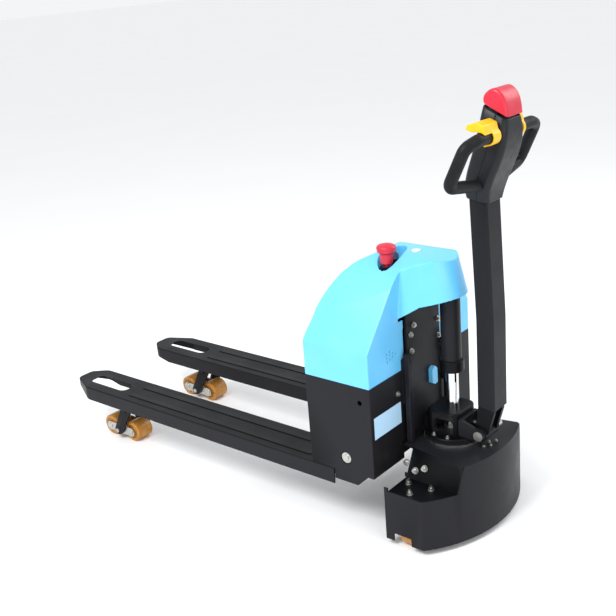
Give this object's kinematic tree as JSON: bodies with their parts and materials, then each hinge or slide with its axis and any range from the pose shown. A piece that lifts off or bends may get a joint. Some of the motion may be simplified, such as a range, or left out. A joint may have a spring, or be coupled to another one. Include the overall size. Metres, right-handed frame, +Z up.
{
  "type": "electric pallet jack",
  "caption": "Walk-behind electric pallet jack with long lifting forks, a sloped battery cover, a steered drive wheel and a tall tiller with hand loops.",
  "frame": {"origin": "centre of the bounding box on the floor", "axes": "+Z up, +Y along the forks towards their tips, +X to the right seen from the tiller"},
  "size_m": [0.55, 1.7464, 1.3061],
  "materials": {
    "blue": "satin",
    "black_paint": "satin",
    "steel": "satin",
    "chrome": "polished",
    "black_plastic": "matte",
    "red_plastic": "satin",
    "yellow_plastic": "satin",
    "amber": "satin",
    "trim": "gloss"
  },
  "bodies": {
    "chassis": {"skirt": "black_paint", "deck_housing": "black_paint", "slewing_ring": "steel", "guide_rails": "steel", "piston_rod": "chrome", "chassis_bolts": "steel", "castor_plates": "black_paint"},
    "castor_left": {"castor_fork_left": "steel"},
    "castor_right": {"castor_fork_right": "steel"},
    "castor_roll_left": {"castor_wheel_left": "amber"},
    "castor_roll_right": {"castor_wheel_right": "amber"},
    "steering": {"steer_yoke": "black_paint", "yoke_bolts": "steel", "spindle": "steel", "spindle_nut": "steel", "drive_housing": "black_paint", "drive_motor": "black_plastic", "tiller_bracket": "black_paint", "tiller_pin": "steel"},
    "drive_roll": {"drive_wheel": "amber"},
    "tiller": {"tiller_column": "black_paint", "head_shell_front": "black_plastic", "head_shell_rear": "black_plastic", "grip_left": "black_plastic", "grip_right": "black_plastic"},
    "throttle": {"throttle_wings": "yellow_plastic"},
    "belly": {"belly_button": "red_plastic"},
    "lift_key": {"lift_button": "black_plastic"},
    "lower_key": {"lower_button": "black_plastic"},
    "horn_key": {"horn_button": "black_plastic"},
    "frame": {"fork_left": "black_paint", "fork_right": "black_paint", "arm_shafts": "black_paint", "battery_box": "black_paint", "battery": "black_plastic", "cover": "blue", "key_panel": "black_plastic", "battery_gauge": "trim", "mast_plate": "black_paint", "guide_shoes": "black_plastic", "cylinder_tube": "black_paint", "cylinder_gland": "black_paint", "power_pack": "black_plastic", "controller": "black_plastic", "frame_bolts": "steel", "data_plate": "trim", "battery_plug": "blue"},
    "key_barrel": {"key": "steel"},
    "stop": {"stop_button": "red_plastic"},
    "torsion": {"torsion_shaft": "black_paint"},
    "arm_left": {"load_arm_left": "black_paint"},
    "arm_right": {"load_arm_right": "black_paint"},
    "bogie_left": {"bogie_left": "steel"},
    "bogie_right": {"bogie_right": "steel"},
    "rod_left": {"push_rod_left": "steel"},
    "rod_right": {"push_rod_right": "steel"},
    "roller_fl": {"load_roller_front_left": "amber"},
    "roller_fr": {"load_roller_front_right": "amber"},
    "roller_rl": {"load_roller_rear_left": "amber"},
    "roller_rr": {"load_roller_rear_right": "amber"}
  },
  "joints": [
    {"name": "lift", "type": "slide", "parent": "chassis", "child": "frame", "axis": [0, 0, 1], "range_m": [-0.112, 0]},
    {"name": "steer", "type": "hinge", "parent": "chassis", "child": "steering", "pos_m": [0, -0.6558, 0.2], "axis": [0, 0, 1], "range_deg": [-80, 80]},
    {"name": "drive", "type": "hinge", "parent": "steering", "child": "drive_roll", "pos_m": [0, -0.6558, 0.1], "axis": [1, 0, 0], "continuous": true},
    {"name": "tilt", "type": "hinge", "parent": "steering", "child": "tiller", "pos_m": [0, -0.7688, 0.298], "axis": [1, 0, 0], "range_deg": [0, 75], "stiffness_Nm_per_rad": 60, "springref_deg": -91.67},
    {"name": "throttle", "type": "hinge", "parent": "tiller", "child": "throttle", "pos_m": [0, -0.8428, 1.19], "axis": [1, 0, 0], "range_deg": [-30, 30], "stiffness_Nm_per_rad": 1.2},
    {"name": "belly", "type": "slide", "parent": "tiller", "child": "belly", "axis": [0, 0.4372, -0.8994], "range_m": [0, 0.005], "stiffness_N_per_m": 600, "springref_m": -0.004},
    {"name": "lift_press", "type": "slide", "parent": "tiller", "child": "lift_key", "axis": [0, -0.9667, -0.2559], "range_m": [0, 0.0025], "stiffness_N_per_m": 500, "springref_m": -0.002},
    {"name": "lower_press", "type": "slide", "parent": "tiller", "child": "lower_key", "axis": [0, -0.9667, -0.2559], "range_m": [0, 0.0025], "stiffness_N_per_m": 500, "springref_m": -0.002},
    {"name": "horn_press", "type": "slide", "parent": "tiller", "child": "horn_key", "axis": [0, -0.9667, -0.2559], "range_m": [0, 0.0025], "stiffness_N_per_m": 500, "springref_m": -0.002},
    {"name": "stop_press", "type": "slide", "parent": "frame", "child": "stop", "axis": [0, 0, -1], "range_m": [0, 0.006], "stiffness_N_per_m": 600, "springref_m": -0.003},
    {"name": "key_turn", "type": "hinge", "parent": "frame", "child": "key_barrel", "pos_m": [-0.022, -0.4848, 0.782], "axis": [0, 0, 1], "range_deg": [0, 90]},
    {"name": "torsion_turn", "type": "hinge", "parent": "frame", "child": "torsion", "pos_m": [0, -0.3508, 0.172], "axis": [1, 0, 0], "range_deg": [0, 25.42]},
    {"name": "arm_swing_left", "type": "hinge", "parent": "frame", "child": "arm_left", "pos_m": [-0.1975, 0.5692, 0.16], "axis": [1, 0, 0], "range_deg": [0, 52.75]},
    {"name": "bogie_level_left", "type": "hinge", "parent": "arm_left", "child": "bogie_left", "pos_m": [-0.1975, 0.6492, 0.0375], "axis": [1, 0, 0], "range_deg": [-52.75, 0]},
    {"name": "rod_swing_left", "type": "hinge", "parent": "arm_left", "child": "rod_left", "pos_m": [-0.1975, 0.5962, 0.131], "axis": [1, 0, 0], "range_deg": [-50.76, 0]},
    {"name": "castor_swivel_left", "type": "hinge", "parent": "chassis", "child": "castor_left", "pos_m": [-0.215, -0.6493, 0.08], "axis": [0, 0, 1], "continuous": true},
    {"name": "castor_roll_left", "type": "hinge", "parent": "castor_left", "child": "castor_roll_left", "pos_m": [-0.229, -0.6493, 0.0375], "axis": [0, 1, 0], "continuous": true},
    {"name": "arm_swing_right", "type": "hinge", "parent": "frame", "child": "arm_right", "pos_m": [0.1975, 0.5692, 0.16], "axis": [1, 0, 0], "range_deg": [0, 52.75]},
    {"name": "bogie_level_right", "type": "hinge", "parent": "arm_right", "child": "bogie_right", "pos_m": [0.1975, 0.6492, 0.0375], "axis": [1, 0, 0], "range_deg": [-52.75, 0]},
    {"name": "rod_swing_right", "type": "hinge", "parent": "arm_right", "child": "rod_right", "pos_m": [0.1975, 0.5962, 0.131], "axis": [1, 0, 0], "range_deg": [-50.76, 0]},
    {"name": "castor_swivel_right", "type": "hinge", "parent": "chassis", "child": "castor_right", "pos_m": [0.215, -0.6493, 0.08], "axis": [0, 0, 1], "continuous": true},
    {"name": "castor_roll_right", "type": "hinge", "parent": "castor_right", "child": "castor_roll_right", "pos_m": [0.229, -0.6493, 0.0375], "axis": [0, 1, 0], "continuous": true},
    {"name": "roller_spin_front_left", "type": "hinge", "parent": "bogie_left", "child": "roller_fl", "pos_m": [-0.1975, 0.7062, 0.0375], "axis": [1, 0, 0], "continuous": true},
    {"name": "roller_spin_front_right", "type": "hinge", "parent": "bogie_right", "child": "roller_fr", "pos_m": [0.1975, 0.7062, 0.0375], "axis": [1, 0, 0], "continuous": true},
    {"name": "roller_spin_rear_left", "type": "hinge", "parent": "bogie_left", "child": "roller_rl", "pos_m": [-0.1975, 0.5922, 0.0375], "axis": [1, 0, 0], "continuous": true},
    {"name": "roller_spin_rear_right", "type": "hinge", "parent": "bogie_right", "child": "roller_rr", "pos_m": [0.1975, 0.5922, 0.0375], "axis": [1, 0, 0], "continuous": true}
  ],
  "couplings": [
    {"joint": "torsion_turn", "follows": "lift", "rad_per_m": -3.96},
    {"joint": "arm_swing_left", "follows": "lift", "rad_per_m": -8.218},
    {"joint": "bogie_level_left", "follows": "lift", "rad_per_m": 8.218},
    {"joint": "rod_swing_left", "follows": "lift", "rad_per_m": 7.908},
    {"joint": "arm_swing_right", "follows": "lift", "rad_per_m": -8.218},
    {"joint": "bogie_level_right", "follows": "lift", "rad_per_m": 8.218},
    {"joint": "rod_swing_right", "follows": "lift", "rad_per_m": 7.908}
  ]
}
